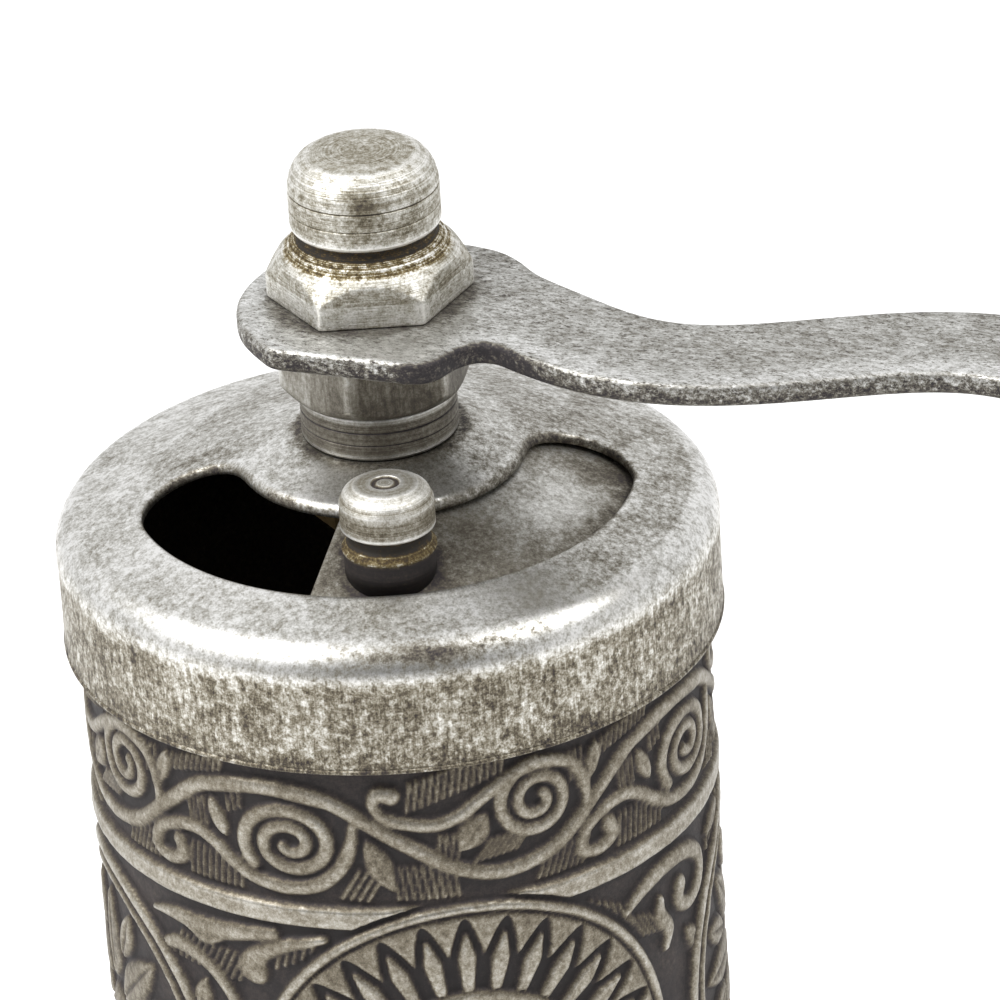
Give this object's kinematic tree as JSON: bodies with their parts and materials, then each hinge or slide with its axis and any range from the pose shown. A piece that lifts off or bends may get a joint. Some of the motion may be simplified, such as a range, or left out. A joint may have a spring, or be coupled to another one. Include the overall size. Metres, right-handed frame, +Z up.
{
  "type": "spice grinder",
  "caption": "Small hand-cranked spice mill: embossed two-part barrel, conical lid with shuttered filling slot, wavy crank with turning knob, conical burrs set by a nut.",
  "frame": {"origin": "middle of the flat base, on the mill's axis", "axes": "+Z up along the mill's axis; the picture looks along +Y, so -Y is the front and the crank points to +X turned 24 degrees towards the front"},
  "size_m": [0.0921, 0.0565, 0.1121],
  "materials": {
    "antique_pewter": "antique silver plate over brass, dark in the recesses and rubbed on the high spots",
    "worn_pewter": "antique silver plate over brass, mottled and brushed, mostly rubbed bright",
    "bright_steel": "turned steel",
    "burr_steel": "hardened steel, dull",
    "spring_steel": "drawn and rolled spring steel",
    "raw_brass": "turned brass, unplated and dull"
  },
  "bodies": {
    "cup": {"receiving_cup": "antique_pewter"},
    "casing": {"hopper_shell": "antique_pewter", "lid": "worn_pewter", "top_bush": "antique_pewter", "friction_washer": "spring_steel", "bush_nut": "raw_brass", "burr_carrier": "raw_brass", "burr_snap_ring": "spring_steel", "outer_burr": "burr_steel", "spindle_bridge": "raw_brass", "bridge_screw_1": "bright_steel", "bridge_screw_2": "bright_steel", "bridge_screw_3": "bright_steel"},
    "shutter": {"shutter_plate": "worn_pewter", "shutter_knob": "worn_pewter"},
    "spindle": {"spindle": "bright_steel", "spindle_clip": "spring_steel", "hex_collar": "antique_pewter", "cap_nut": "antique_pewter", "crank_arm": "worn_pewter", "knob_washer": "bright_steel", "knob_pin": "bright_steel", "spring_seat": "bright_steel", "burr_spring": "spring_steel"},
    "knob": {"crank_knob": "worn_pewter"},
    "burr": {"inner_burr": "burr_steel", "thrust_washer": "bright_steel"},
    "adjuster": {"adjusting_nut": "raw_brass"}
  },
  "joints": [
    {"name": "casing_lift", "type": "slide", "parent": "cup", "child": "casing", "axis": [0, 0, 1], "range_m": [0, 0.04]},
    {"name": "crank_turn", "type": "hinge", "parent": "casing", "child": "spindle", "pos_m": [0, 0, 0.09], "axis": [0, 0, 1], "continuous": true},
    {"name": "knob_spin", "type": "hinge", "parent": "spindle", "child": "knob", "pos_m": [0.06413, -0.02855, 0.098], "axis": [0, 0, 1], "continuous": true},
    {"name": "shutter_turn", "type": "hinge", "parent": "casing", "child": "shutter", "pos_m": [0, 0, 0.086], "axis": [0, 0, 1], "range_deg": [-75, 81]},
    {"name": "burr_lift", "type": "slide", "parent": "spindle", "child": "burr", "axis": [0, 0, 1], "range_m": [-0.00056, 0.00056], "deforming": ["burr_spring"]},
    {"name": "adjuster_turn", "type": "hinge", "parent": "burr", "child": "adjuster", "pos_m": [0, 0, 0.022], "axis": [0, 0, 1], "range_deg": [-270, 270]}
  ],
  "couplings": [
    {"joint": "adjuster_turn", "follows": "burr_lift", "rad_per_m": 8377.6}
  ]
}
